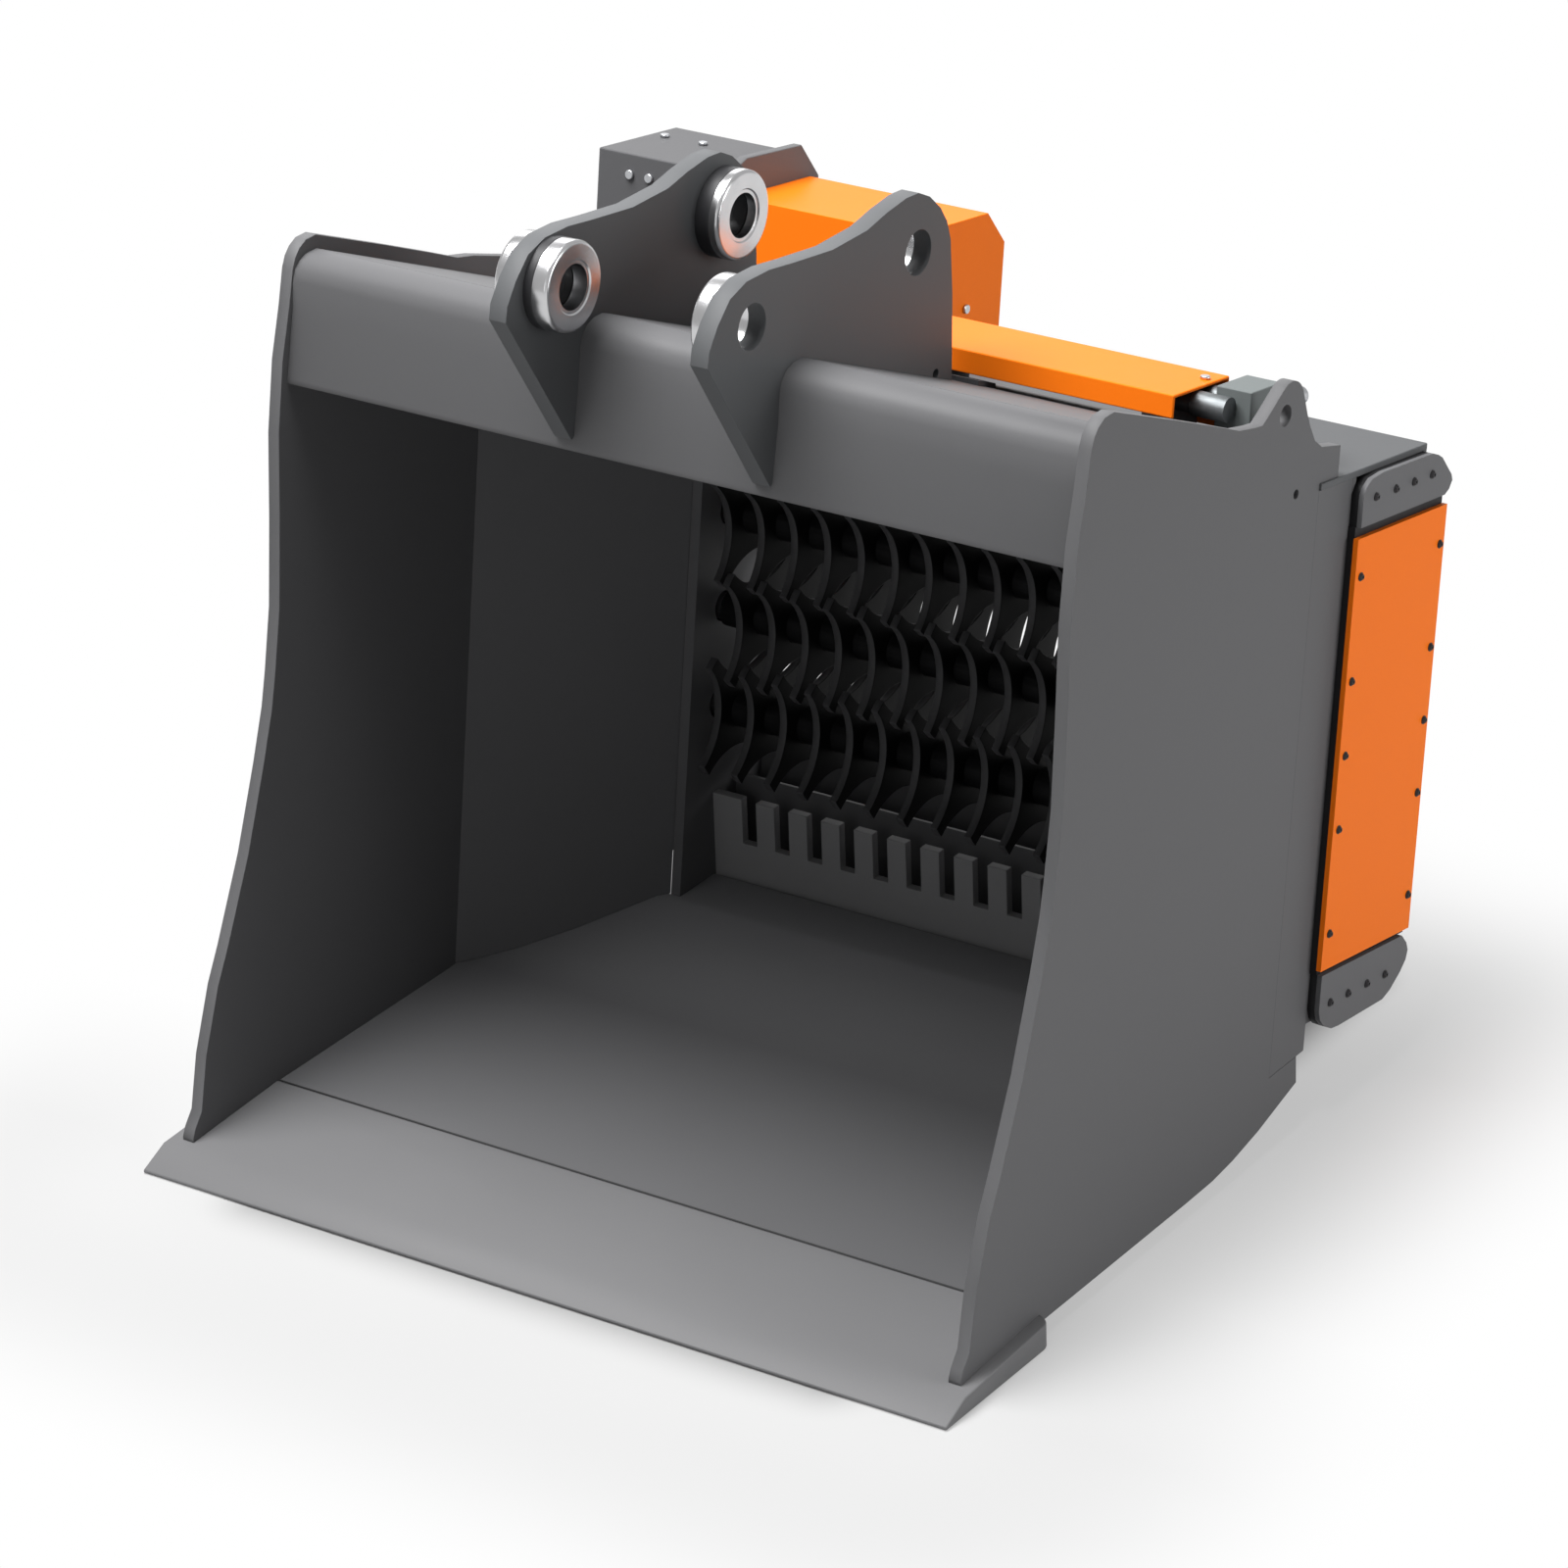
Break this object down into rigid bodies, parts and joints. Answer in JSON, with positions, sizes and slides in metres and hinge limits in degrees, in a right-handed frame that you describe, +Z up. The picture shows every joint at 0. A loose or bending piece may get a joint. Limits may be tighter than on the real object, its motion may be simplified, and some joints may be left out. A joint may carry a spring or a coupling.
{
  "type": "screening bucket",
  "caption": "Welded excavator bucket with hanger ears and a leaning rear screen of star-disc rotors, driven through chains by a hydraulic motor under a sheet hood.",
  "frame": {"origin": "middle of the footprint on the ground, under the centre of the bounding box", "axes": "+X along the rotors and the hanger pins to the right seen from the mouth, +Y from the cutting edge to the back, +Z up"},
  "size_m": [1.068, 1.1084, 1.095],
  "materials": {
    "grey_paint": "satin",
    "orange_paint": "satin",
    "machined_steel": "machined",
    "wear_steel": "satin",
    "black_paint": "satin",
    "chain_steel": "oiled",
    "hose_rubber": "matt"
  },
  "bodies": {
    "bucket": {"side_plate_left": "grey_paint", "side_plate_right": "grey_paint", "cutting_lip": "grey_paint", "floor_plate": "grey_paint", "wear_strips": "grey_paint", "cheek_left": "grey_paint", "cheek_right": "grey_paint", "upper_beam": "grey_paint", "top_plate": "grey_paint", "ear_left": "grey_paint", "ear_right": "grey_paint", "pin_collars": "machined_steel", "frame_strips": "grey_paint", "cap_plate": "grey_paint", "chamber_wall_left": "grey_paint", "chamber_wall_right": "grey_paint", "casing_left": "grey_paint", "casing_right": "grey_paint", "rim_left": "black_paint", "rim_right": "black_paint", "side_cover_left": "orange_paint", "side_cover_right": "orange_paint", "upper_guards": "grey_paint", "lower_guards": "grey_paint", "cover_bolts": "black_paint", "guard_bolts": "black_paint", "comb": "grey_paint", "rear_sill": "grey_paint", "rear_tie": "grey_paint", "bearing_housings": "machined_steel", "bearing_bolts": "black_paint", "drive_chains": "chain_steel", "chain_box": "grey_paint", "box_bolts": "machined_steel", "motor_plate": "grey_paint", "motor": "black_paint", "motor_bolts": "machined_steel", "motor_cover": "orange_paint", "hood_bolts": "machined_steel", "hose_cover": "orange_paint", "cover_brackets": "grey_paint", "hoses": "hose_rubber", "hose_fittings": "machined_steel", "manifold": "grey_paint", "couplers": "machined_steel"},
    "rotor_1": {"rotor_1": "wear_steel", "shaft_1": "machined_steel", "sprocket_1": "machined_steel"},
    "rotor_2": {"rotor_2": "wear_steel", "shaft_2": "machined_steel", "sprocket_2": "machined_steel"},
    "rotor_3": {"rotor_3": "wear_steel", "shaft_3": "machined_steel", "sprocket_3": "machined_steel"},
    "rotor_4": {"rotor_4": "wear_steel", "shaft_4": "machined_steel", "sprocket_4": "machined_steel"},
    "motor_drive": {"motor_shaft": "machined_steel", "motor_sprocket": "machined_steel"}
  },
  "joints": [
    {"name": "rotor_1_spin", "type": "hinge", "parent": "bucket", "child": "rotor_1", "pos_m": [0, 0.29441, 0.28395], "axis": [1, 0, 0], "continuous": true},
    {"name": "rotor_2_spin", "type": "hinge", "parent": "bucket", "child": "rotor_2", "pos_m": [0, 0.31279, 0.4], "axis": [1, 0, 0], "continuous": true},
    {"name": "rotor_3_spin", "type": "hinge", "parent": "bucket", "child": "rotor_3", "pos_m": [0, 0.33117, 0.51605], "axis": [1, 0, 0], "continuous": true},
    {"name": "rotor_4_spin", "type": "hinge", "parent": "bucket", "child": "rotor_4", "pos_m": [0, 0.34955, 0.63211], "axis": [1, 0, 0], "continuous": true},
    {"name": "motor_spin", "type": "hinge", "parent": "bucket", "child": "motor_drive", "pos_m": [-0.42, 0.43235, 0.8225], "axis": [1, 0, 0], "continuous": true}
  ],
  "couplings": [
    {"joint": "rotor_1_spin", "follows": "rotor_4_spin", "ratio": 1},
    {"joint": "rotor_2_spin", "follows": "rotor_4_spin", "ratio": 1},
    {"joint": "rotor_3_spin", "follows": "rotor_4_spin", "ratio": 1},
    {"joint": "motor_spin", "follows": "rotor_4_spin", "ratio": 1}
  ]
}
